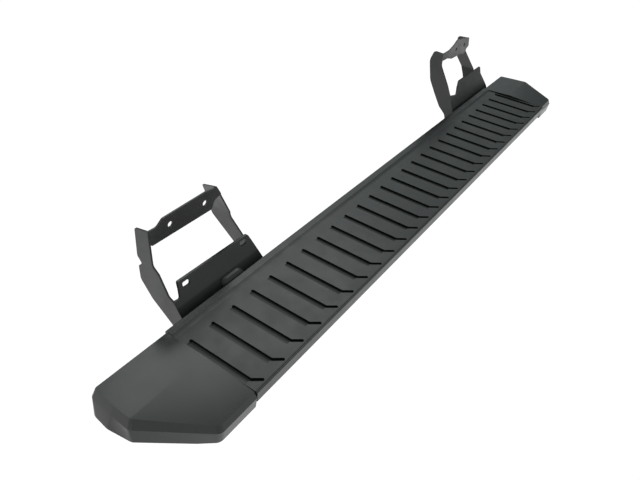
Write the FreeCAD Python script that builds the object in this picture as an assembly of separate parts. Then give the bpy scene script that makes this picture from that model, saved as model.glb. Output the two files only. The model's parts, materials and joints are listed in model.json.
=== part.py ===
import FreeCAD, Part
import math
import os

# Running board for a short-cab pickup: a hollow aluminium extrusion with a ribbed
# plastic step pad, two moulded end caps, and two welded steel brackets that hang
# from T-bolts in the extrusion's channels.
#
# Millimetres. +X runs along the board, +Y points inboard to the vehicle, +Z is up.
# Heights are drawn from the top of the tread. Each finished piece is lifted by the
# board's depth, so that the origin is the middle of the flat underside.

V = FreeCAD.Vector

# ---- Driving dimensions -------------------------------------------------------

BOARD_WIDTH = 165.0
BOARD_LENGTH = 1390.0  # over the end caps at their widest band; their bellies stand further out
CAP_LENGTH = 129.0
SEAM_GAP = 0.5
RUN_CLEARANCE = 0.3
THREAD_FIT = 0.05

HALF_WIDTH = BOARD_WIDTH / 2
SEAM_X = BOARD_LENGTH / 2 - CAP_LENGTH
EXTRUSION_HALF = SEAM_X - SEAM_GAP

# Extrusion section, measured from the outboard edge and from the tread.
WALL = 2.6
PAD_THICKNESS = 4.8
BOARD_DEPTH = 36.0
NOSE_LIP = 2.6
NOSE_TOP = -0.4
NOSE_DEPTH = 18.0
NOSE_CHAMFER_IN = 2.0
NOSE_SLOPE_IN = 19.5
RIM_INNER = 151.0
RIM_HEIGHT = 1.5
PAD_GAP = 0.12

# T-channels along the underside.
CHANNEL_Y = (60.0, 132.0)
CHANNEL_MOUTH = 11.0
CHANNEL_WIDTH = 23.0
CHANNEL_LIP = 3.0
CHANNEL_HEIGHT = 8.0

# Step pad and its bent grooves.
GROOVE_COUNT = 27
GROOVE_PITCH = 42.75
GROOVE_WIDTH = 5.4
GROOVE_DEPTH = 3.0
GROOVE_INNER_Y = 128.0
GROOVE_BEND_Y = 20.5
GROOVE_END_Y = 6.5
GROOVE_TAIL_SHIFT = 11.5
GROOVE_END_ROUND = 0.9
RAMP_LENGTH = 6.0
RAMP_DROP = 1.3

# End caps.
CAP_WALL = 3.0
CAP_RIDGE_Y = 92.0
CAP_RIDGE_Z = 4.0
CAP_OUT_Z = -1.5
CAP_IN_Z = 0.4
CAP_IN_Y = 163.5
CAP_CHAMFER_START = 66.0
CAP_BAND_Z = -10.5
CAP_BAND_SLOPE = 0.44
CAP_IN_STEEPNESS = 0.5
CAP_BOTTOM = -36.0
CAP_BOTTOM_OUT = -30.0
CAP_KEEL_Y = 48.0
CAP_BELLY = 8.5
CAP_KEEL_RISE = 5.0
CAP_TUCK = 3.0
TONGUE_LENGTH = 25.0
TONGUE_GAP = 0.4
CAP_SCREW_Y = (38.0, 96.0)
CAP_SCREW_IN = 13.0
CAP_SCREW_R = 2.1
CAP_SCREW_LENGTH = 14.0
CAP_SCREW_HEAD_R = 4.5
CAP_SCREW_HEAD_HEIGHT = 2.6
CAP_SCREW_HEAD_ROUND = 1.4
DRIVE_LENGTH = 5.0
DRIVE_WIDTH = 1.2
DRIVE_DEPTH = 1.3
CAP_RIB_LENGTH = 16.0

# Bracket sheet and fasteners (M8).
SHEET = 3.2
FOOT_TOP = -(BOARD_DEPTH + RUN_CLEARANCE)
FOOT_BOTTOM = FOOT_TOP - SHEET
FOOT_REACH = -121.0
RAIL_BOTTOM = -60.0
BOLT_R = 4.0
BOLT_TIP = -54.0
BOLT_TIP_CHAMFER = 0.8
BOLT_HEAD_LENGTH = 21.0
BOLT_HEAD_WIDTH = 10.2
BOLT_HEAD_HEIGHT = 5.0
WASHER_R = 9.0
WASHER_HEIGHT = 1.6
NUT_FLATS = 13.0
NUT_HEIGHT = 8.0
NUT_CHAMFER = 0.9
NUT_FLANGE_R = 8.6
NUT_FLANGE_HEIGHT = 1.6
FOOT_SLOT_WIDTH = 9.0
FOOT_SLOT_LENGTH = 22.0
BODY_HOLE_R = 4.5
SADDLE_SLOT_LENGTH = 14.0
SADDLE_SLOT_WIDTH = 7.0
SADDLE_BEND_R = 4.0
BEAD_R = 12.0
ROUND_END = 0.999

# Lengths that only have to pass clean through a piece.
THROUGH = 1.0
BRACKET_SPAN = 260.0
BRACKET_DEPTH = 500.0

# ---- Geometry helpers ---------------------------------------------------------


def place_yz(x):
    """Section plane across the board; u is measured from the outboard edge."""
    return lambda u, v: V(x, u - HALF_WIDTH, v)


def place_reach(x):
    """Section plane across the board; u is measured inboard from the board's edge."""
    return lambda u, v: V(x, u + HALF_WIDTH, v)


def place_xz(y):
    """Upright plane along the board."""
    return lambda u, v: V(u, y, v)


def place_xy(z):
    """Level plane; v is measured from the outboard edge."""
    return lambda u, v: V(u, v - HALF_WIDTH, z)


def arc_points(before, here, after, radius):
    """Start, middle and end of the arc that rounds one corner of an outline."""
    to_before = (before[0] - here[0], before[1] - here[1])
    to_after = (after[0] - here[0], after[1] - here[1])
    length_a = math.hypot(*to_before)
    length_b = math.hypot(*to_after)
    a = (to_before[0] / length_a, to_before[1] / length_a)
    b = (to_after[0] / length_b, to_after[1] / length_b)
    half = math.acos(max(-1.0, min(1.0, a[0] * b[0] + a[1] * b[1]))) / 2
    setback = radius / math.tan(half)
    bisector = (a[0] + b[0], a[1] + b[1])
    size = math.hypot(*bisector)
    to_middle = radius / math.sin(half) - radius
    start = (here[0] + a[0] * setback, here[1] + a[1] * setback)
    middle = (here[0] + bisector[0] / size * to_middle, here[1] + bisector[1] / size * to_middle)
    end = (here[0] + b[0] * setback, here[1] + b[1] * setback)
    return start, middle, end


def outline(points, place):
    """Closed wire through (u, v) or (u, v, corner radius) points."""
    spans = []
    for index, point in enumerate(points):
        radius = point[2] if len(point) > 2 else 0
        if radius:
            after = points[(index + 1) % len(points)]
            spans.append(arc_points(points[index - 1], point, after, radius))
        else:
            spans.append((point[:2], None, point[:2]))
    edges = []
    for index, (start, middle, end) in enumerate(spans):
        if middle:
            edges.append(Part.Arc(place(*start), place(*middle), place(*end)).toShape())
        following = spans[(index + 1) % len(spans)][0]
        if (place(*end) - place(*following)).Length > 1e-6:
            edges.append(Part.LineSegment(place(*end), place(*following)).toShape())
    return Part.Wire(edges)


def prism(points, place, direction, holes=()):
    """Straight extrusion of an outline, less its holes."""
    wires = [outline(points, place)] + [outline(hole, place) for hole in holes]
    face = Part.Face(wires)
    face.validate()
    return face.extrude(direction)


def rectangle(u0, u1, v0, v1, radius=0.0):
    return [(u0, v0, radius), (u1, v0, radius), (u1, v1, radius), (u0, v1, radius)]


def offset_path(points, distance):
    """Open path moved sideways, to its left where distance is positive."""
    normals = []
    for (u0, v0), (u1, v1) in zip(points, points[1:]):
        length = math.hypot(u1 - u0, v1 - v0)
        normals.append(((v0 - v1) / length, (u1 - u0) / length))
    moved = []
    for index, (u, v) in enumerate(points):
        before = normals[max(index - 1, 0)]
        after = normals[min(index, len(normals) - 1)]
        scale = distance / (1 + before[0] * after[0] + before[1] * after[1])
        moved.append((u + (before[0] + after[0]) * scale, v + (before[1] + after[1]) * scale))
    return moved


def bent_sheet(points, thickness, bend_radius):
    """Outline of a sheet bent along a path, with concentric bends."""
    other = offset_path(points, thickness)
    last = len(points) - 1
    near_side = []
    far_side = []
    for index, (near, far) in enumerate(zip(points, other)):
        if index in (0, last):
            near_side.append(near)
            far_side.append(far)
            continue
        (u0, v0), (u1, v1), (u2, v2) = points[index - 1:index + 2]
        left_turn = (u1 - u0) * (v2 - v1) - (v1 - v0) * (u2 - u1) > 0
        near_radius = bend_radius + thickness if left_turn else bend_radius
        far_radius = bend_radius if left_turn else bend_radius + thickness
        near_side.append(near + (near_radius,))
        far_side.append(far + (far_radius,))
    return near_side + far_side[::-1]


def inset(points, distances):
    """Outline with each side moved inwards; side i runs from point i to the next."""
    count = len(points)
    area = sum(points[i][0] * points[(i + 1) % count][1] - points[(i + 1) % count][0] * points[i][1]
               for i in range(count))
    turn = 1 if area > 0 else -1
    lines = []
    for index in range(count):
        u0, v0 = points[index][:2]
        u1, v1 = points[(index + 1) % count][:2]
        length = math.hypot(u1 - u0, v1 - v0)
        normal = (-(v1 - v0) / length * turn, (u1 - u0) / length * turn)
        lines.append((normal, normal[0] * u0 + normal[1] * v0 + distances[index]))
    corners = []
    for index in range(count):
        (a, c), (b, d) = lines[index - 1], lines[index]
        det = a[0] * b[1] - a[1] * b[0]
        corner = ((c * b[1] - a[1] * d) / det, (a[0] * d - c * b[0]) / det)
        corners.append(corner + tuple(points[index][2:]))
    return corners


def cylinder_z(radius, x, y, z0, z1):
    """Upright cylinder at x and y, where y is measured from the centreline."""
    return Part.makeCylinder(radius, z1 - z0, V(x, y, z0))


def mirrored(shape):
    """The same piece for the other end of the board."""
    return shape.mirror(V(0, 0, 0), V(1, 0, 0))


# ---- Board --------------------------------------------------------------------


def channel_outline(y):
    """T-channel cut into the underside, walked from its inboard lip."""
    mouth = CHANNEL_MOUTH / 2
    side = CHANNEL_WIDTH / 2
    lip = -BOARD_DEPTH + CHANNEL_LIP
    roof = lip + CHANNEL_HEIGHT
    return [(y + mouth, -BOARD_DEPTH), (y + mouth, lip), (y + side, lip), (y + side, roof),
            (y - side, roof), (y - side, lip), (y - mouth, lip), (y - mouth, -BOARD_DEPTH)]


def board_extrusion():
    """Hollow section with a raised inboard rim, a pad recess and two T-channels."""
    floor = -PAD_THICKNESS
    section = [(0, NOSE_TOP, 1.2), (NOSE_LIP, NOSE_TOP, 0.6), (NOSE_LIP, floor), (RIM_INNER, floor),
               (RIM_INNER, RIM_HEIGHT, 0.8), (BOARD_WIDTH, RIM_HEIGHT, 2.5),
               (BOARD_WIDTH, -BOARD_DEPTH, 5.0)]
    section += channel_outline(CHANNEL_Y[1])
    section += channel_outline(CHANNEL_Y[0])
    section += [(NOSE_SLOPE_IN, -BOARD_DEPTH, 5.0), (NOSE_CHAMFER_IN, -NOSE_DEPTH - 0.5, 1.5),
                (0, -NOSE_DEPTH, 1.0)]

    top = floor - WALL
    bottom = -BOARD_DEPTH + WALL
    channel_roof = -BOARD_DEPTH + CHANNEL_LIP + CHANNEL_HEIGHT + WALL
    side = CHANNEL_WIDTH / 2
    first, second = CHANNEL_Y
    slope_shift = WALL * math.sqrt(2)
    slope_line = NOSE_SLOPE_IN - BOARD_DEPTH + slope_shift
    hollows = [
        [(NOSE_LIP, top), (first - side - WALL, top), (first - side - WALL, bottom),
         (slope_line - bottom, bottom), (NOSE_LIP, slope_line - NOSE_LIP)],
        rectangle(first - side, first + side, channel_roof, top),
        rectangle(first + side + WALL, second - side - WALL, bottom, top),
        rectangle(second - side, second + side, channel_roof, top),
        [(second + side + WALL, bottom), (BOARD_WIDTH - WALL, bottom),
         (BOARD_WIDTH - WALL, RIM_HEIGHT - WALL), (RIM_INNER + WALL, RIM_HEIGHT - WALL),
         (RIM_INNER + WALL, top), (second + side + WALL, top)],
    ]
    place = place_yz(-EXTRUSION_HALF)
    board = prism(section, place, V(2 * EXTRUSION_HALF, 0, 0), hollows)
    holes = [cylinder_z(CAP_SCREW_R + RUN_CLEARANCE, x, y - HALF_WIDTH,
                        -BOARD_DEPTH - THROUGH, bottom + THROUGH)
             for x in (CAP_SCREW_IN - SEAM_X, SEAM_X - CAP_SCREW_IN) for y in CAP_SCREW_Y]
    return board.cut(Part.makeCompound(holes))


def groove_outline(x):
    """Hockey-stick groove: straight across the pad, then bent near the outboard edge."""
    half = GROOVE_WIDTH / 2
    path = [(x, GROOVE_INNER_Y), (x, GROOVE_BEND_Y), (x + GROOVE_TAIL_SHIFT, GROOVE_END_Y)]
    left = offset_path(path, half)
    right = offset_path(path, -half)
    end_radius = half * GROOVE_END_ROUND
    points = left + right[::-1]
    return [points[0] + (end_radius,), points[1] + (half,), points[2] + (end_radius,),
            points[3] + (end_radius,), points[4] + (GROOVE_WIDTH,), points[5] + (end_radius,)]


def ramp(x):
    """Wedge cut from the bar before a groove, so that the bar dips into it."""
    edge = x - GROOVE_WIDTH / 2
    slope = RAMP_DROP / RAMP_LENGTH
    section = [(edge - RAMP_LENGTH - THROUGH, THROUGH * slope), (edge + THROUGH, THROUGH * slope),
               (edge + THROUGH, -RAMP_DROP - THROUGH * slope)]
    first = GROOVE_BEND_Y - HALF_WIDTH
    run = GROOVE_INNER_Y - GROOVE_BEND_Y - GROOVE_WIDTH / 2
    return prism(section, place_xz(first), V(0, run, 0))


def step_pad():
    """Ribbed plastic tread that lies in the extrusion's recess."""
    section = [(NOSE_LIP + PAD_GAP, -PAD_THICKNESS), (RIM_INNER - PAD_GAP, -PAD_THICKNESS),
               (RIM_INNER - PAD_GAP, 0, 0.4), (NOSE_LIP + PAD_GAP, 0, 0.6)]
    pad = prism(section, place_yz(-EXTRUSION_HALF), V(2 * EXTRUSION_HALF, 0, 0))
    middle = (GROOVE_COUNT - 1) / 2
    places = [(index - middle) * GROOVE_PITCH for index in range(GROOVE_COUNT)]
    grooves = [prism(groove_outline(x), place_xy(-GROOVE_DEPTH), V(0, 0, GROOVE_DEPTH + THROUGH))
               for x in places]
    return pad.cut(Part.makeCompound(grooves)).cut(Part.makeCompound([ramp(x) for x in places]))


# ---- End caps -----------------------------------------------------------------


def cap_plans():
    """Plans of the +X cap, u growing away from the seam: at the band, and at the foot."""
    end = SEAM_X + CAP_LENGTH
    chamfer_x = SEAM_X + CAP_CHAMFER_START
    band = [(SEAM_X, 0), (chamfer_x, 0, 12.0), (end, 89.0, 9.0), (end - 1.0, 122.0, 40.0),
            (end - 4.0, CAP_IN_Y, 5.0), (SEAM_X, CAP_IN_Y)]
    foot = [(SEAM_X, CAP_TUCK), (chamfer_x, CAP_TUCK, 12.0), (end + 1.0, 86.0, 14.0),
            (end + CAP_BELLY, 124.0, 28.0), (end + 4.0, CAP_IN_Y, 22.0), (SEAM_X, CAP_IN_Y)]
    return band, foot


def cap_block(shrink):
    """Solid cap, or the space inside its walls where shrink is the wall."""
    walls = [shrink, shrink, shrink, shrink, shrink, 0]
    band, foot = [inset(plan, walls) for plan in cap_plans()]
    top_z = CAP_RIDGE_Z + THROUGH
    rise = (top_z - CAP_BAND_Z) * CAP_BAND_SLOPE
    top = inset(band, [rise, rise, rise, rise, rise * CAP_IN_STEEPNESS, 0])
    band_wire = outline(band, place_xy(CAP_BAND_Z))
    upper = Part.makeLoft([band_wire, outline(top, place_xy(top_z))], True, True)
    lower = Part.makeLoft([outline(foot, place_xy(CAP_BOTTOM)), band_wire], True, True)
    block = upper.fuse(lower).removeSplitter()
    far_y = BOARD_WIDTH + THROUGH
    roof = [(-THROUGH, CAP_BOTTOM_OUT + shrink), (CAP_KEEL_Y, CAP_BOTTOM + shrink),
            (far_y, CAP_BOTTOM + shrink), (far_y, CAP_IN_Z - shrink),
            (CAP_RIDGE_Y, CAP_RIDGE_Z - shrink), (-THROUGH, CAP_OUT_Z - shrink)]
    reach = CAP_LENGTH + 2 * CAP_BELLY
    envelope = prism(roof, place_yz(SEAM_X), V(reach, 0, 0))
    tip_x = SEAM_X + reach
    keel = [(SEAM_X, CAP_BOTTOM + shrink), (tip_x, CAP_BOTTOM + CAP_KEEL_RISE + shrink),
            (tip_x, top_z), (SEAM_X, top_z)]
    side_view = prism(keel, place_xz(-BOARD_WIDTH), V(0, 2 * BOARD_WIDTH, 0))
    return block.common(envelope).common(side_view)


def tongue_spans():
    """Across-the-board spans of the two tongues that plug into the extrusion."""
    side = CHANNEL_WIDTH / 2 + WALL + TONGUE_GAP
    first, second = CHANNEL_Y
    return [(NOSE_SLOPE_IN + CAP_WALL, first - side), (first + side, second - side)]


def end_cap():
    """Hollow moulded cap for the +X end, open towards the extrusion."""
    outer = cap_block(0.0)
    cap = outer.cut(cap_block(CAP_WALL))
    low = -BOARD_DEPTH + WALL + TONGUE_GAP
    high = -PAD_THICKNESS - WALL - TONGUE_GAP
    for y0, y1 in tongue_spans():
        span = rectangle(y0, y1, low, high, 1.5)
        tongue = prism(span, place_yz(SEAM_X - TONGUE_LENGTH), V(TONGUE_LENGTH + THROUGH, 0, 0))
        rib = prism(rectangle(y0, y1, -BOARD_DEPTH, CAP_RIDGE_Z + THROUGH), place_yz(SEAM_X),
                    V(CAP_RIB_LENGTH, 0, 0))
        cap = cap.fuse(tongue).fuse(rib.common(outer))
    holes = [cylinder_z(CAP_SCREW_R + THREAD_FIT, SEAM_X - CAP_SCREW_IN, y - HALF_WIDTH,
                        low - THROUGH, low + CAP_SCREW_LENGTH)
             for y in CAP_SCREW_Y]
    return cap.cut(Part.makeCompound(holes)).removeSplitter()


def cap_screw(x, y):
    """Pan-head screw driven up through the extrusion's floor into a cap's tongue."""
    under = -BOARD_DEPTH
    lowest = under - CAP_SCREW_HEAD_HEIGHT
    shank = cylinder_z(CAP_SCREW_R, x, y, under - 0.5, under + CAP_SCREW_LENGTH)
    head = cylinder_z(CAP_SCREW_HEAD_R, x, y, lowest, under)
    rim = [edge for edge in head.Edges if edge.Closed and edge.BoundBox.ZMax < under - 0.1]
    head = head.makeFillet(CAP_SCREW_HEAD_ROUND, rim)
    slot = Part.makeBox(DRIVE_LENGTH, DRIVE_WIDTH, DRIVE_DEPTH + THROUGH,
                        V(x - DRIVE_LENGTH / 2, y - DRIVE_WIDTH / 2, lowest - THROUGH))
    cross = slot.copy()
    cross.rotate(V(x, y, 0), V(0, 0, 1), 90)
    return head.fuse(shank).cut(slot).cut(cross)


def cap_screws(x):
    """The two screws that hold one cap."""
    return Part.makeCompound([cap_screw(x, y - HALF_WIDTH) for y in CAP_SCREW_Y])


# ---- Brackets -----------------------------------------------------------------
#
# Each bracket is welded from four plates: two side arms in the plane across the
# board, an upright hanger plate that bolts to the body, and a saddle that carries
# the board. Arms are drawn as (reach, z): reach is measured inboard from the
# board's edge. Plates are drawn as (x, z): x is measured from the first arm's
# outer face. A third number is a corner radius.

RAIL_END = [(-104.0, RAIL_BOTTOM, 8.0), (FOOT_REACH, -50.0, 4.0)]

FRONT = {
    "start": -526.0,
    "first_arm": [(4.0, FOOT_TOP), (4.0, -21.0, 12.0), (24.0, 9.0, 14.0), (34.0, 14.0, 8.0),
                  (50.0, 47.0, 8.0), (61.0, 57.0, 8.0), (61.0, 118.0, 1.0), (88.0, 112.0, 4.0),
                  (91.0, 62.0, 5.0), (83.0, 51.0, 3.0), (91.0, 43.0, 4.0), (91.0, 18.0, 12.0),
                  (70.0, -10.0, 20.0), (30.0, -42.0, 20.0), (11.0, RAIL_BOTTOM, 8.0)],
    "second_arm": [(8.0, FOOT_BOTTOM), (8.0, -19.0, 14.0), (61.0, 56.0, 14.0),
                   (61.0, 126.0, 1.0), (94.0, 114.0, 3.0), (104.0, 62.0, 14.0),
                   (102.0, 44.0, 14.0), (62.0, 0.0, 20.0), (34.0, -40.0, 20.0),
                   (11.0, RAIL_BOTTOM, 8.0)],
    "second_arm_line": [(174.0, -64.0), (174.0, -6.0), (162.0, 66.0), (134.0, 127.0)],
    "hanger": [(SHEET, 90.5, 4.0), (121.5, 90.5, 4.0), (129.0, 104.0, 8.0),
               (144.0, 108.0, 1.0), (136.0, 123.5, 4.0), (112.0, 127.0, 8.0), (28.0, 125.0, 8.0),
               (17.0, 116.5, 10.0), (SHEET, 117.0)],
    "hanger_reach": 61.0,
    "hanger_holes": [(40.5, 108.5), (109.0, 108.5)],
    "saddle_path": [(42.2, 35.5), (4.0, -21.5), (4.0, FOOT_TOP), (FOOT_REACH, FOOT_TOP)],
    "saddle": [(SHEET, -41.0), (SHEET, 8.5), (13.0, 7.5, 4.0), (18.0, 18.0, 12.0),
               (21.0, 27.0, 4.0), (174.0, 26.0, 4.0), (178.0, 8.0, 12.0), (183.0, -16.0, 6.0),
               (174.0, -30.0, 4.0), (174.0, -41.0)],
    "saddle_slots": [(33.5, 19.5), (158.5, 19.5)],
    "bolts": (34.0, 140.0),
    "bead": (84.0, 133.0, 12.5, -12.0),
}

REAR = {
    "start": 381.0,
    "first_arm": [(2.0, FOOT_TOP), (2.0, -8.0, 10.0), (18.0, 30.0, 24.0), (30.0, 54.0, 40.0),
                  (57.0, 98.0, 20.0), (58.0, 127.0, 1.0), (82.0, 128.0, 8.0),
                  (90.0, 104.0, 24.0), (79.0, 57.0, 40.0), (59.0, 24.0, 40.0),
                  (42.0, -2.0, 20.0), (24.0, -18.0, 14.0), (16.0, -44.0, 14.0),
                  (6.0, RAIL_BOTTOM, 8.0)],
    "second_arm": [(6.0, FOOT_BOTTOM), (6.0, -8.0, 10.0), (34.0, 50.0, 30.0),
                   (59.0, 98.0, 14.0), (60.0, 132.0, 1.0), (84.0, 130.0, 6.0),
                   (86.0, 84.0, 24.0), (58.0, 30.0, 30.0), (30.0, -40.0, 20.0),
                   (11.0, RAIL_BOTTOM, 8.0)],
    "second_arm_line": [(163.0, -64.0), (163.0, 6.0), (170.0, 50.0), (146.0, 100.0),
                        (143.0, 136.0)],
    "hanger": [(SHEET, 108.0, 5.0), (32.0, 107.0, 10.0), (60.0, 99.0, 10.0), (116.0, 97.0, 8.0),
               (128.0, 92.0, 2.0), (147.0, 92.0, 2.0), (147.0, 102.0, 3.0), (160.0, 107.0, 2.0),
               (152.0, 130.0, 2.0), (138.0, 132.0, 6.0), (116.0, 137.0, 8.0),
               (76.0, 142.0, 8.0), (60.0, 133.0, 10.0), (36.0, 126.0, 10.0), (SHEET, 126.0)],
    "hanger_reach": 58.0,
    "hanger_holes": [(78.0, 118.0), (126.0, 118.0)],
    "saddle_path": [(36.0, 60.0), (2.0, -8.0), (2.0, FOOT_TOP), (FOOT_REACH, FOOT_TOP)],
    "saddle": [(SHEET, -41.0), (SHEET, 32.0), (18.0, 27.0, 8.0), (40.0, 23.0, 6.0),
               (54.0, 36.0, 10.0), (70.0, 47.0, 8.0), (206.0, 47.0, 2.0), (200.0, 33.0, 3.0),
               (220.0, -4.0, 8.0), (206.0, -30.0, 6.0), (163.0, -33.0, 4.0), (163.0, -41.0)],
    "saddle_slots": [],
    "bolts": (40.0, 140.0),
    "bead": None,
}


def at_start(spec, points):
    """Plate points moved from the bracket's own x to the board's."""
    return [(spec["start"] + point[0],) + tuple(point[1:]) for point in points]


def first_arm(spec):
    """Flat side arm nearest the -X end, with its rail beside the foot."""
    points = spec["first_arm"] + RAIL_END + [(FOOT_REACH, FOOT_TOP)]
    return prism(points, place_reach(spec["start"]), V(SHEET, 0, 0))


def second_arm(spec):
    """Side arm whose upper part leans in; its rail runs under the foot."""
    start = spec["start"]
    points = spec["second_arm"] + RAIL_END + [(FOOT_REACH, FOOT_BOTTOM)]
    profile = prism(points, place_reach(start), V(BRACKET_SPAN, 0, 0))
    line = spec["second_arm_line"]
    band = line + [(x - SHEET, z) for x, z in line[::-1]]
    plane = prism(at_start(spec, band), place_xz(-BOARD_WIDTH), V(0, BRACKET_DEPTH, 0))
    arm = profile.common(plane).cut(hanger_plate(spec)).cut(saddle(spec))
    return max(arm.Solids, key=lambda solid: solid.Volume)


def hanger_plate(spec):
    """Upright plate with two bolt holes that joins the arms at the top."""
    y = spec["hanger_reach"] + HALF_WIDTH
    plate = prism(at_start(spec, spec["hanger"]), place_xz(y), V(0, SHEET, 0))
    holes = [Part.makeCylinder(BODY_HOLE_R, SHEET + 2 * THROUGH, V(x, y - THROUGH, z), V(0, 1, 0))
             for x, z in at_start(spec, spec["hanger_holes"])]
    return plate.cut(Part.makeCompound(holes))


def slot_outline(u, v, along, across):
    """Round-ended slot centred on (u, v)."""
    radius = min(along, across) / 2 * ROUND_END
    return rectangle(u - along / 2, u + along / 2, v - across / 2, v + across / 2, radius)


def bead(spec):
    """Round-ended swelling pressed into the saddle's bend to stiffen it."""
    x0, x1, reach, z = spec["bead"]
    first = V(spec["start"] + x0 + BEAD_R, reach + HALF_WIDTH, z)
    last = V(spec["start"] + x1 - BEAD_R, reach + HALF_WIDTH, z)
    barrel = Part.makeCylinder(BEAD_R, last.x - first.x, first, V(1, 0, 0))
    return barrel.fuse([Part.makeSphere(BEAD_R, first), Part.makeSphere(BEAD_R, last)])


def saddle(spec):
    """Bent plate: a slotted face inboard of the board, and the foot under it."""
    profile = bent_sheet(spec["saddle_path"], SHEET, SADDLE_BEND_R)
    sheet = prism(profile, place_reach(spec["start"]), V(BRACKET_SPAN, 0, 0))
    front_view = prism(at_start(spec, spec["saddle"]), place_xz(-BOARD_WIDTH),
                       V(0, BRACKET_DEPTH, 0))
    plate = sheet.common(front_view)
    if spec["bead"]:
        plate = plate.fuse(bead(spec))
    cutters = [prism(slot_outline(x, z, SADDLE_SLOT_LENGTH, SADDLE_SLOT_WIDTH),
                     place_xz(HALF_WIDTH), V(0, HALF_WIDTH, 0))
               for x, z in at_start(spec, spec["saddle_slots"])]
    cutters += [prism(slot_outline(spec["start"] + x, y, FOOT_SLOT_WIDTH, FOOT_SLOT_LENGTH),
                      place_xy(FOOT_BOTTOM - THROUGH), V(0, 0, SHEET + 2 * THROUGH))
                for x in spec["bolts"] for y in CHANNEL_Y]
    return plate.cut(Part.makeCompound(cutters)).removeSplitter()


# ---- Fasteners ----------------------------------------------------------------


def t_bolt(x, y):
    """Bolt whose oblong head is held in a channel."""
    lip_top = -BOARD_DEPTH + CHANNEL_LIP + RUN_CLEARANCE
    neck = CHANNEL_MOUTH - 2 * RUN_CLEARANCE
    half = BOLT_HEAD_WIDTH / 2
    head = Part.makeBox(BOLT_HEAD_WIDTH, BOLT_HEAD_LENGTH, BOLT_HEAD_HEIGHT,
                        V(x - half, y - BOLT_HEAD_LENGTH / 2, lip_top))
    collar = Part.makeBox(BOLT_HEAD_WIDTH, neck, lip_top + BOARD_DEPTH,
                          V(x - half, y - neck / 2, -BOARD_DEPTH))
    shank = cylinder_z(BOLT_R, x, y, BOLT_TIP, -BOARD_DEPTH)
    tip = [edge for edge in shank.Edges if edge.Closed and edge.BoundBox.ZMax < BOLT_TIP + 0.1]
    return head.fuse(collar).fuse(shank.makeChamfer(BOLT_TIP_CHAMFER, tip)).removeSplitter()


def washer(x, y):
    """Plain washer under the foot, wide enough to cover the slot."""
    ring = cylinder_z(WASHER_R, x, y, FOOT_BOTTOM - WASHER_HEIGHT, FOOT_BOTTOM)
    return ring.cut(cylinder_z(BOLT_R + RUN_CLEARANCE, x, y, BOLT_TIP, FOOT_BOTTOM + THROUGH))


def flange_nut(x, y):
    """Hexagon nut with a flange, tightened against the washer."""
    top = FOOT_BOTTOM - WASHER_HEIGHT
    bottom = top - NUT_HEIGHT
    corner_r = NUT_FLATS / math.sqrt(3)
    corners = [math.radians(60 * step) for step in range(7)]
    ring = [V(x + corner_r * math.cos(a), y + corner_r * math.sin(a), bottom) for a in corners]
    nut = Part.Face(Part.makePolygon(ring)).extrude(V(0, 0, NUT_HEIGHT))
    crown = Part.makeCone(corner_r - NUT_CHAMFER, corner_r - NUT_CHAMFER + NUT_HEIGHT, NUT_HEIGHT,
                          V(x, y, bottom))
    flange = cylinder_z(NUT_FLANGE_R, x, y, top - NUT_FLANGE_HEIGHT, top)
    bore = cylinder_z(BOLT_R + THREAD_FIT, x, y, bottom - THROUGH, top + THROUGH)
    return nut.common(crown).fuse(flange).cut(bore)


def at_bolts(spec, make):
    """One fastener for each of a bracket's four bolt places."""
    return Part.makeCompound([make(spec["start"] + x, y - HALF_WIDTH)
                              for x in spec["bolts"] for y in CHANNEL_Y])


# ---- Export -------------------------------------------------------------------

cap = end_cap()
nodes = {
    "board_extrusion": board_extrusion(),
    "step_pad": step_pad(),
    "front_end_cap": mirrored(cap),
    "rear_end_cap": cap,
    "front_cap_screws": cap_screws(CAP_SCREW_IN - SEAM_X),
    "rear_cap_screws": cap_screws(SEAM_X - CAP_SCREW_IN),
}
for end, spec in (("front", FRONT), ("rear", REAR)):
    nodes[end + "_first_arm"] = first_arm(spec)
    nodes[end + "_second_arm"] = second_arm(spec)
    nodes[end + "_hanger_plate"] = hanger_plate(spec)
    nodes[end + "_saddle"] = saddle(spec)
    nodes[end + "_t_bolts"] = at_bolts(spec, t_bolt)
    nodes[end + "_washers"] = at_bolts(spec, washer)
    nodes[end + "_flange_nuts"] = at_bolts(spec, flange_nut)

os.makedirs("parts", exist_ok=True)
for name, shape in nodes.items():
    shape.translate(V(0, 0, BOARD_DEPTH))
    if not shape.isValid():
        print("not valid:", name)
    print(name, len(shape.Solids), "solid(s)", round(shape.Volume / 1000, 1), "cm3")
    shape.exportStep("parts/" + name + ".step")
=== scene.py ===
import json
import math

import bmesh
import bpy
from mathutils import Matrix, Vector


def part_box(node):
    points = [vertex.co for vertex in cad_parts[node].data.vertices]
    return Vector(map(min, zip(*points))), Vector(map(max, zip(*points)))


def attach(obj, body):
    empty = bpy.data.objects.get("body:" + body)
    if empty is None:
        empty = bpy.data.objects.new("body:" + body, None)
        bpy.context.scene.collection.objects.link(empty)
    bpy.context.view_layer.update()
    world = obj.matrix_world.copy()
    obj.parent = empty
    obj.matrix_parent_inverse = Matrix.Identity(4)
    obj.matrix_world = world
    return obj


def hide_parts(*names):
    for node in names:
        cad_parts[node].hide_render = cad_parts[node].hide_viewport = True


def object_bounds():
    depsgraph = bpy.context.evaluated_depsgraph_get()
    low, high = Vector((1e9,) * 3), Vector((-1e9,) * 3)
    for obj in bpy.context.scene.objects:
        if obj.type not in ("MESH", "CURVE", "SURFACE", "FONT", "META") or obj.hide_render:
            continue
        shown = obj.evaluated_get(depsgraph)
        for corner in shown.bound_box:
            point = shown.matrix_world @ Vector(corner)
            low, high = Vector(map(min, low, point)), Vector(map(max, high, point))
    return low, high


# Looks of the running board: softened copies of the CAD pieces, pad lips, weld beads,
# threads, procedural finishes, a white studio and the camera. Metres throughout.

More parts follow.
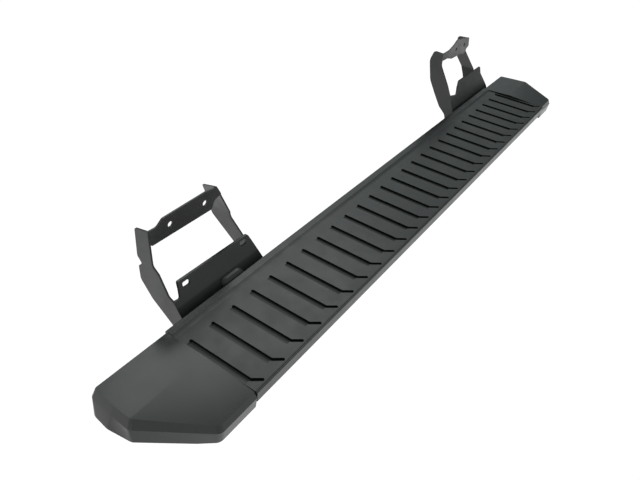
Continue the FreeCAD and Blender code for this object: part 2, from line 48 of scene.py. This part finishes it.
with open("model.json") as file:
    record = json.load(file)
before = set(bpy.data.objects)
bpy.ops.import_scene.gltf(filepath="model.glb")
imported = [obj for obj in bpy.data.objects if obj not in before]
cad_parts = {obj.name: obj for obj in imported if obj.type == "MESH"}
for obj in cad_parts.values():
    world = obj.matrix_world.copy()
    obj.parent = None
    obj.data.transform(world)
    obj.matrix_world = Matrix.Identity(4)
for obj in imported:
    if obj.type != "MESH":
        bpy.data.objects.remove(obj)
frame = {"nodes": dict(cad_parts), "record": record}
CAD_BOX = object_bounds()
MM = 0.001

# ---- Node helpers -------------------------------------------------------------


def new_material(name):
    """Empty node material with its Principled shader and output."""
    material = bpy.data.materials.new(name)
    material.use_nodes = True
    nodes = material.node_tree.nodes
    shader = next(node for node in nodes if node.type == "BSDF_PRINCIPLED")
    return material, nodes, material.node_tree.links, shader


def noise(nodes, links, scale, detail, coordinates=None):
    """Noise over object coordinates, with its scale in cycles per metre."""
    if coordinates is None:
        coordinates = nodes.new("ShaderNodeTexCoord").outputs["Object"]
    texture = nodes.new("ShaderNodeTexNoise")
    texture.inputs["Scale"].default_value = scale
    texture.inputs["Detail"].default_value = detail
    links.new(coordinates, texture.inputs["Vector"])
    return texture.outputs["Fac"]


def ramp(nodes, links, factor, low, high, low_at=0.35, high_at=0.65):
    """Colour ramp from low to high, as grey values or RGB triples."""
    node = nodes.new("ShaderNodeValToRGB")
    first, last = node.color_ramp.elements
    first.position, last.position = low_at, high_at
    first.color = (*((low,) * 3 if isinstance(low, float) else low), 1)
    last.color = (*((high,) * 3 if isinstance(high, float) else high), 1)
    links.new(factor, node.inputs["Fac"])
    return node.outputs["Color"]


def curve(nodes, links, value, stops):
    """Grey level through (value, level) stops, for a value between the outer stops."""
    low, high = stops[0][0], stops[-1][0]
    node = nodes.new("ShaderNodeValToRGB")
    elements = node.color_ramp.elements
    places = [(at - low) / (high - low) for at, level in stops]
    elements[0].position, elements[1].position = places[0], places[-1]
    elements[0].color = (*(stops[0][1],) * 3, 1)
    elements[1].color = (*(stops[-1][1],) * 3, 1)
    for place, (at, level) in list(zip(places, stops))[1:-1]:
        elements.new(place).color = (*(level,) * 3, 1)
    links.new(spread(nodes, links, value, low, high), node.inputs["Fac"])
    return node.outputs["Color"]


def bump(nodes, links, shader, height, strength, distance, under=None):
    """Bump map over the shader's normal, on top of an earlier one if given."""
    node = nodes.new("ShaderNodeBump")
    node.inputs["Strength"].default_value = strength
    node.inputs["Distance"].default_value = distance
    links.new(height, node.inputs["Height"])
    if under is not None:
        links.new(under, node.inputs["Normal"])
    links.new(node.outputs["Normal"], shader.inputs["Normal"])
    return node.outputs["Normal"]


def height_of(nodes, links):
    """Height over the frame's origin, in metres."""
    split = nodes.new("ShaderNodeSeparateXYZ")
    links.new(nodes.new("ShaderNodeTexCoord").outputs["Object"], split.inputs[0])
    return split.outputs["Z"]


def spread(nodes, links, value, low, high):
    """Value stretched from low..high onto 0..1."""
    node = nodes.new("ShaderNodeMapRange")
    node.inputs["From Min"].default_value = low
    node.inputs["From Max"].default_value = high
    links.new(value, node.inputs["Value"])
    return node.outputs["Result"]


def times(nodes, links, first, second):
    """Product of two colours."""
    node = nodes.new("ShaderNodeMix")
    node.data_type = "RGBA"
    node.blend_type = "MULTIPLY"
    node.inputs[0].default_value = 1.0
    links.new(first, node.inputs[6])
    links.new(second, node.inputs[7])
    return node.outputs[2]


# Noise scales of the black finishes, in cycles per metre.
DRIFT_SCALE = 9.0
PATCH_SCALE = 38.0
WAVE_SCALE = 55.0

# Heights that the bump maps stand for.
WAVE_BUMP = 0.5 * MM
GRAIN_BUMP = 0.06 * MM
SPANGLE_BUMP = 0.05 * MM
THREAD_BUMP = 0.6 * MM

# Painted shade in the grooves: share of the colour, and the specular levels, at the bottom of a
# groove and at its top.
PAINTED_SHADE_COLOUR_SHARE = 0.45
PAINTED_SHADE_GLOSS = 0.14
FULL_GLOSS = 0.5


def scuffed(name, dark, light, rough_low, rough_high, grain, grain_strength, painted_shade_between=None):
    """Black finish: slow colour drift, patchy gloss, and a fine pebbled grain.

    painted_shade_between is a pair of heights over which painted groove shade fades from shaded to
    full colour.
    """
    material, nodes, links, shader = new_material(name)
    drift = noise(nodes, links, DRIFT_SCALE, 3.0)
    colour = ramp(nodes, links, drift, dark, light)
    # Painted shade: the colour gets darker and less glossy towards the groove bottoms, by height.
    if painted_shade_between:
        level = spread(nodes, links, height_of(nodes, links), *painted_shade_between)
        shade = ramp(nodes, links, level, PAINTED_SHADE_COLOUR_SHARE, 1.0, 0.0, 1.0)
        gloss = ramp(nodes, links, level, PAINTED_SHADE_GLOSS, FULL_GLOSS, 0.0, 1.0)
        colour = times(nodes, links, colour, shade)
        links.new(gloss, shader.inputs["Specular IOR Level"])
    links.new(colour, shader.inputs["Base Color"])
    patches = noise(nodes, links, PATCH_SCALE, 5.0)
    links.new(ramp(nodes, links, patches, rough_low, rough_high), shader.inputs["Roughness"])
    waves = noise(nodes, links, WAVE_SCALE, 2.0)
    pebbles = noise(nodes, links, grain, 2.0)
    coarse = bump(nodes, links, shader, waves, 0.05, WAVE_BUMP)
    bump(nodes, links, shader, pebbles, grain_strength, GRAIN_BUMP, coarse)
    return material


# ---- Finishes -----------------------------------------------------------------

TREAD_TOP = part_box("step_pad")[1].z
# Heights over which the tread's painted groove shade fades out.
PAINTED_SHADE_HEIGHTS = (TREAD_TOP - 1.9 * MM, TREAD_TOP - 0.1 * MM)
FINISH = {
    "tread": scuffed("tread_plastic", (0.0080, 0.0092, 0.0088), (0.0130, 0.0145, 0.0138),
                     0.30, 0.38, 1500.0, 0.35, PAINTED_SHADE_HEIGHTS),
    "end_cap": scuffed("cap_plastic", (0.0030, 0.0036, 0.0040), (0.0046, 0.0054, 0.0058),
                       0.22, 0.25, 1700.0, 0.20),
    "extrusion": scuffed("powder_coat_aluminium", (0.0080, 0.0092, 0.0088),
                         (0.0120, 0.0135, 0.0130), 0.26, 0.34, 900.0, 0.35),
    "bracket": scuffed("powder_coat_steel", (0.0180, 0.0182, 0.0182), (0.0260, 0.0264, 0.0264),
                       0.32, 0.42, 700.0, 0.5),
}


def zinc(name):
    """Zinc plating with a faint yellow-grey spangle."""
    material, nodes, links, shader = new_material(name)
    mottle = noise(nodes, links, 420.0, 3.0)
    links.new(ramp(nodes, links, mottle, (0.42, 0.42, 0.39), (0.62, 0.61, 0.56)),
              shader.inputs["Base Color"])
    links.new(ramp(nodes, links, noise(nodes, links, 900.0, 2.0), 0.24, 0.4),
              shader.inputs["Roughness"])
    bump(nodes, links, shader, noise(nodes, links, 1800.0, 2.0), 0.3, SPANGLE_BUMP)
    shader.inputs["Metallic"].default_value = 1.0
    return material


def threaded(material, below, pitch):
    """Add screw threads to a finish, under the given height."""
    nodes, links = material.node_tree.nodes, material.node_tree.links
    shader = next(node for node in nodes if node.type == "BSDF_PRINCIPLED")
    earlier = shader.inputs["Normal"].links[0].from_socket
    turns = nodes.new("ShaderNodeTexWave")
    turns.bands_direction = "Z"
    # At scale 1 this texture's wave advances 20 radians per metre.
    turns.inputs["Scale"].default_value = 2.0 * math.pi / (20.0 * pitch)
    links.new(nodes.new("ShaderNodeTexCoord").outputs["Object"], turns.inputs["Vector"])
    shown = spread(nodes, links, height_of(nodes, links), below, below - 0.5 * MM)
    fade = ramp(nodes, links, shown, 0.0, 1.0, 0.0, 1.0)
    ridges = times(nodes, links, turns.outputs["Color"], fade)
    bump(nodes, links, shader, ridges, 0.9, THREAD_BUMP, earlier)
    return material


def black_oxide():
    """Oiled black screw finish, worn bright in specks."""
    material, nodes, links, shader = new_material("black_oxide")
    specks = noise(nodes, links, 1300.0, 4.0)
    links.new(ramp(nodes, links, specks, (0.02, 0.02, 0.02), (0.11, 0.105, 0.1), 0.5, 0.8),
              shader.inputs["Base Color"])
    links.new(ramp(nodes, links, noise(nodes, links, 500.0, 2.0), 0.28, 0.45),
              shader.inputs["Roughness"])
    shader.inputs["Metallic"].default_value = 0.7
    return material


THREAD_PITCH = 1.25 * MM
FINISH["fastener"] = zinc("zinc_plate")
BOLT_FINISH = threaded(zinc("zinc_thread"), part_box("front_flange_nuts")[0].z, THREAD_PITCH)
FINISH["screw"] = black_oxide()

SLOT_OF = {part["node"]: part["material_slot"] for part in frame["record"]["subparts"]}


def finish_with(obj, slot):
    """Give an object one finish on all its faces."""
    obj.data.materials.clear()
    obj.data.materials.append(FINISH[slot])


# ---- Softened copies of the CAD pieces ------------------------------------------

MERGE_WITHIN = 0.002 * MM
FLAT_WITHIN = math.radians(0.4)
ROLL_SEGMENTS = 2
FLATS_WEIGHT = 100


def body_of(node):
    """Name of the rigid body that a CAD node belongs to."""
    return next(body for body, members in frame["record"]["behaviour"]["bodies"].items()
                if node in members)


def mark_hard(mesh, limit):
    """Smooth shading, with edges sharper than the limit kept crisp."""
    for polygon in mesh.polygons:
        polygon.use_smooth = True
    work = bmesh.new()
    work.from_mesh(mesh)
    for edge in work.edges:
        edge.smooth = len(edge.link_faces) == 2 and edge.calc_face_angle(0.0) < limit
    work.to_mesh(mesh)
    work.free()


def evaluated_mesh(piece):
    """The object's mesh with its modifiers applied."""
    depsgraph = bpy.context.evaluated_depsgraph_get()
    mesh = bpy.data.meshes.new_from_object(piece.evaluated_get(depsgraph))
    piece.modifiers.clear()
    piece.data = mesh
    return mesh


def softened(node, width, roll_from, hard_from):
    """Copy of a CAD piece with its hard edges rolled over, shown in its place."""
    mesh = frame["nodes"][node].data.copy()
    work = bmesh.new()
    work.from_mesh(mesh)
    bmesh.ops.remove_doubles(work, verts=work.verts, dist=MERGE_WITHIN)
    bmesh.ops.dissolve_limit(work, angle_limit=FLAT_WITHIN, verts=work.verts,
                             edges=work.edges, delimit=set())
    work.to_mesh(mesh)
    work.free()
    piece = bpy.data.objects.new(node + "_skin", mesh)
    bpy.context.scene.collection.objects.link(piece)
    roll = piece.modifiers.new("edges", "BEVEL")
    roll.width = width
    roll.segments = ROLL_SEGMENTS
    roll.limit_method = "ANGLE"
    roll.angle_limit = math.radians(roll_from)
    roll.use_clamp_overlap = True
    roll.miter_outer = "MITER_ARC"
    mark_hard(evaluated_mesh(piece), math.radians(hard_from))
    flats = piece.modifiers.new("flats", "WEIGHTED_NORMAL")
    flats.keep_sharp = True
    flats.weight = FLATS_WEIGHT
    evaluated_mesh(piece)
    finish_with(piece, SLOT_OF[node])
    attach(piece, body_of(node))
    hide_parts(node)


# Width of the rolled edges, and the angles in degrees from which edges are rolled or kept
# hard, by material slot.
SOFT_EDGES = {"tread": (0.7 * MM, 30.0, 11.0), "end_cap": (1.2 * MM, 20.0, 30.0),
              "extrusion": (0.5 * MM, 30.0, 50.0), "bracket": (0.5 * MM, 30.0, 50.0)}

for name, cad in frame["nodes"].items():
    slot_name = SLOT_OF[name]
    if slot_name in SOFT_EDGES:
        softened(name, *SOFT_EDGES[slot_name])
    else:
        finish_with(cad, slot_name)
        if name.endswith("t_bolts"):
            cad.data.materials[0] = BOLT_FINISH

# ---- Added pieces -----------------------------------------------------------------

SWEPT_HARD_FROM = math.radians(50.0)
PAD_LOW, PAD_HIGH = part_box("step_pad")
RIM_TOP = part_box("board_extrusion")[1].z

# Pad lips: steps across the section, lift off the faces they cover, depth under them, and
# gap at the caps.
LIP_STEPS = 8
LIP_LIFT = 0.06 * MM
LIP_DEPTH = 0.6 * MM
LIP_END_GAP = 0.1 * MM

# How far each lip reaches over the pad and past its edge, and the outboard lip's drop.
INBOARD_LIP_ON_PAD = 7.0 * MM
INBOARD_LIP_PAST = 4.0 * MM
OUTBOARD_LIP_ON_PAD = 1.6 * MM
OUTBOARD_LIP_PAST = 1.0 * MM
OUTBOARD_LIP_DROP = 0.34 * MM

WELD_RADIUS = 2.0 * MM
WELD_RING_STEP = 0.45 * MM
WELD_SIDES = 12
WELD_END_MARGIN = 2.0 * MM
WELD_OFFSET = 0.6 * MM


def add_piece(name, mesh, body, slot):
    """Put a new mesh piece into the scene, riding on a body."""
    piece = bpy.data.objects.new(name, mesh)
    bpy.context.scene.collection.objects.link(piece)
    finish_with(piece, slot)
    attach(piece, body)


def swept(name, rings):
    """Closed skin through rings of points, with flat ends."""
    count = len(rings[0])
    points = [point for ring in rings for point in ring]
    faces = [tuple(reversed(range(count))), tuple(range(len(points) - count, len(points)))]
    for row in range(len(rings) - 1):
        for index in range(count):
            a = row * count + index
            b = row * count + (index + 1) % count
            faces.append((a, b, b + count, a + count))
    mesh = bpy.data.meshes.new(name)
    mesh.from_pydata(points, [], faces)
    work = bmesh.new()
    work.from_mesh(mesh)
    bmesh.ops.recalc_face_normals(work, faces=work.faces)
    work.to_mesh(mesh)
    work.free()
    mark_hard(mesh, SWEPT_HARD_FROM)
    return mesh


def pad_lip(name, profile):
    """Soft lip over the joint between pad and extrusion; its section is (y, z) points."""
    ends = (PAD_LOW.x + LIP_END_GAP, PAD_HIGH.x - LIP_END_GAP)
    rings = [[(x, y, z) for y, z in profile] for x in ends]
    add_piece(name, swept(name, rings), "board", "tread")


def lip_curve(y0, z0, y1, z1):
    """S-shaped skin from one height to another, closed underneath."""
    skin = []
    for step in range(LIP_STEPS + 1):
        t = step / LIP_STEPS
        skin.append((y0 + (y1 - y0) * t, z0 + (z1 - z0) * (3 * t * t - 2 * t * t * t)))
    under = min(z0, z1) - LIP_DEPTH
    return skin + [(y1, under), (y0, under)]


def weld(name, start, end, body):
    """Rippled round bead along a joint."""
    start, end = Vector(start), Vector(end)
    along = (end - start).normalized()
    side = along.orthogonal().normalized()
    up = along.cross(side)
    count = int((end - start).length / WELD_RING_STEP)
    rings = []
    for row in range(count + 1):
        share = row / count
        swell = 1.0 + 0.10 * math.sin(row * 1.3) + 0.03 * math.sin(row * 0.37)
        taper = min(1.0, 0.35 + 12.0 * min(share, 1.0 - share))
        size = WELD_RADIUS * swell * taper
        centre = start.lerp(end, share)
        rings.append([tuple(centre + side * (size * math.cos(turn)) + up * (size * math.sin(turn)))
                      for turn in (math.tau * step / WELD_SIDES for step in range(WELD_SIDES))])
    add_piece(name, swept(name, rings), body, "bracket")


pad_lip("inboard_lip", lip_curve(PAD_HIGH.y - INBOARD_LIP_ON_PAD, PAD_HIGH.z + LIP_LIFT,
                                 PAD_HIGH.y + INBOARD_LIP_PAST, RIM_TOP + LIP_LIFT))
pad_lip("outboard_lip", lip_curve(PAD_LOW.y - OUTBOARD_LIP_PAST, PAD_HIGH.z - OUTBOARD_LIP_DROP,
                                  PAD_LOW.y + OUTBOARD_LIP_ON_PAD, PAD_HIGH.z + LIP_LIFT))

for end in ("front", "rear"):
    hanger_low, hanger_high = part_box(end + "_hanger_plate")
    corner = (hanger_low.x + WELD_OFFSET, hanger_high.y + WELD_OFFSET)
    edge_heights = [v.co.z for v in frame["nodes"][end + "_hanger_plate"].data.vertices
                    if v.co.x < hanger_low.x + 0.1 * MM]
    weld(end + "_hanger_weld", (*corner, min(edge_heights) + WELD_END_MARGIN),
         (*corner, max(edge_heights) - WELD_END_MARGIN), end + "_bracket")

# ---- Studio -------------------------------------------------------------------

FLOOR_HALF = 6.0
FLOOR_DROP = 0.5 * MM
FLOOR_GLOW = 0.9
PAPER_GLOW = 1.05

# The light from the background: its tint, its strength, and shares of it by the upward and
# inboard parts of the direction.
SKY_TINT = (0.91, 1.0, 0.99, 1)
SKY_STRENGTH = 1.12
HORIZON_AT, HORIZON_SHARE = 0.18, 0.06
ZENITH_AT = 0.75
SKY_BY_HEIGHT = ((0.36, 0.95), (0.52, 1.0))
SKY_BY_SIDE = ((-1.0, 0.50), (-0.25, 0.45), (-0.02, 0.28), (0.10, 0.20), (0.22, 0.53),
               (0.33, 0.72), (0.6, 0.98))

# Lens and sensor in millimetres, angles in degrees.
CAMERA_LENS = 32.6
CAMERA_SENSOR = 36.0
CAMERA_PLACE = (-0.9177, -0.3732, 0.6382)
CAMERA_HEADING = 58.05
CAMERA_DOWN = 37.83
CAMERA_ROLL = 5.27


def floor():
    """Plain paper floor: white to the camera, with one even glow for the lighting."""
    mesh = bpy.data.meshes.new("floor")
    z = CAD_BOX[0].z - FLOOR_DROP
    corners = [(x * FLOOR_HALF, y * FLOOR_HALF, z) for x, y in ((-1, -1), (1, -1), (1, 1), (-1, 1))]
    mesh.from_pydata(corners, [], [(0, 1, 2, 3)])
    obj = bpy.data.objects.new("floor", mesh)
    bpy.context.scene.collection.objects.link(obj)
    material, nodes, links, shader = new_material("studio_floor")
    links.new(ramp(nodes, links, noise(nodes, links, 2.0, 2.0), 0.10, 0.12),
              shader.inputs["Base Color"])
    shader.inputs["Roughness"].default_value = 0.9
    shader.inputs["Specular IOR Level"].default_value = 0.0
    shader.inputs["Emission Color"].default_value = (1, 1, 1, 1)
    shader.inputs["Emission Strength"].default_value = FLOOR_GLOW
    paper = nodes.new("ShaderNodeEmission")
    paper.inputs["Strength"].default_value = PAPER_GLOW
    mix = nodes.new("ShaderNodeMixShader")
    links.new(nodes.new("ShaderNodeLightPath").outputs["Is Camera Ray"], mix.inputs[0])
    links.new(shader.outputs[0], mix.inputs[1])
    links.new(paper.outputs[0], mix.inputs[2])
    output = next(node for node in nodes if node.type == "OUTPUT_MATERIAL")
    links.new(mix.outputs[0], output.inputs["Surface"])
    mesh.materials.append(material)


def studio_world():
    """White to the camera; as a light, dark at the horizon and brightest inboard."""
    world = bpy.data.worlds.new("studio")
    bpy.context.scene.world = world
    world.use_nodes = True
    nodes = world.node_tree.nodes
    links = world.node_tree.links
    nodes.clear()
    output = nodes.new("ShaderNodeOutputWorld")
    direction = nodes.new("ShaderNodeTexCoord").outputs["Generated"]
    split = nodes.new("ShaderNodeSeparateXYZ")
    links.new(direction, split.inputs[0])
    height = nodes.new("ShaderNodeValToRGB")
    stops = height.color_ramp.elements
    stops[0].position = HORIZON_AT
    stops[0].color = (*(HORIZON_SHARE,) * 3, 1)
    stops[1].position = ZENITH_AT
    stops[1].color = SKY_TINT
    for position, share in SKY_BY_HEIGHT:
        stops.new(position).color = (*(share * value for value in SKY_TINT[:3]), 1)
    links.new(split.outputs["Z"], height.inputs["Fac"])
    side = curve(nodes, links, split.outputs["Y"], SKY_BY_SIDE)
    sky = nodes.new("ShaderNodeBackground")
    sky.inputs["Strength"].default_value = SKY_STRENGTH
    links.new(times(nodes, links, height.outputs["Color"], side), sky.inputs["Color"])
    paper = nodes.new("ShaderNodeBackground")
    paper.inputs["Color"].default_value = (1, 1, 1, 1)
    rays = nodes.new("ShaderNodeLightPath")
    mix = nodes.new("ShaderNodeMixShader")
    links.new(rays.outputs["Is Camera Ray"], mix.inputs[0])
    links.new(sky.outputs[0], mix.inputs[1])
    links.new(paper.outputs[0], mix.inputs[2])
    links.new(mix.outputs[0], output.inputs["Surface"])


def area_light(name, place, target, size, power, mirrored=True):
    """Soft rectangular light aimed at a point; shiny faces reflect it only if mirrored."""
    data = bpy.data.lights.new(name, "AREA")
    data.shape = "RECTANGLE"
    data.size, data.size_y = size
    data.energy = power
    light = bpy.data.objects.new(name, data)
    bpy.context.scene.collection.objects.link(light)
    light.location = place
    light.visible_glossy = mirrored
    light.rotation_euler = (Vector(target) - Vector(place)).to_track_quat("-Z", "Y").to_euler()


def camera():
    """Eye above the near end, looking along the board and down at it."""
    data = bpy.data.cameras.new("camera")
    data.lens = CAMERA_LENS
    data.sensor_width = CAMERA_SENSOR
    data.clip_start = 0.01
    obj = bpy.data.objects.new("camera", data)
    bpy.context.scene.collection.objects.link(obj)
    heading = math.radians(CAMERA_HEADING)
    down = math.radians(CAMERA_DOWN)
    roll = math.radians(CAMERA_ROLL)
    forward = Vector((math.sin(heading) * math.cos(down), math.cos(heading) * math.cos(down),
                      -math.sin(down)))
    right = forward.cross(Vector((0, 0, 1))).normalized()
    above = right.cross(forward)
    right, above = (right * math.cos(roll) + above * math.sin(roll),
                    above * math.cos(roll) - right * math.sin(roll))
    turn = Matrix((right, above, -forward)).transposed()
    obj.matrix_world = Matrix.Translation(CAMERA_PLACE) @ turn.to_4x4()
    bpy.context.scene.camera = obj


floor()
studio_world()
area_light("key", place=(0.6, 0.9, 1.6), target=(0.0, 0.0, 0.0), size=(1.6, 0.8), power=6.0)
area_light("fill", place=(-0.5, -1.7, 0.18), target=(0.0, 0.1, 0.1), size=(1.6, 0.3), power=28.0,
           mirrored=False)
camera()
bpy.context.scene.view_settings.view_transform = "Standard"
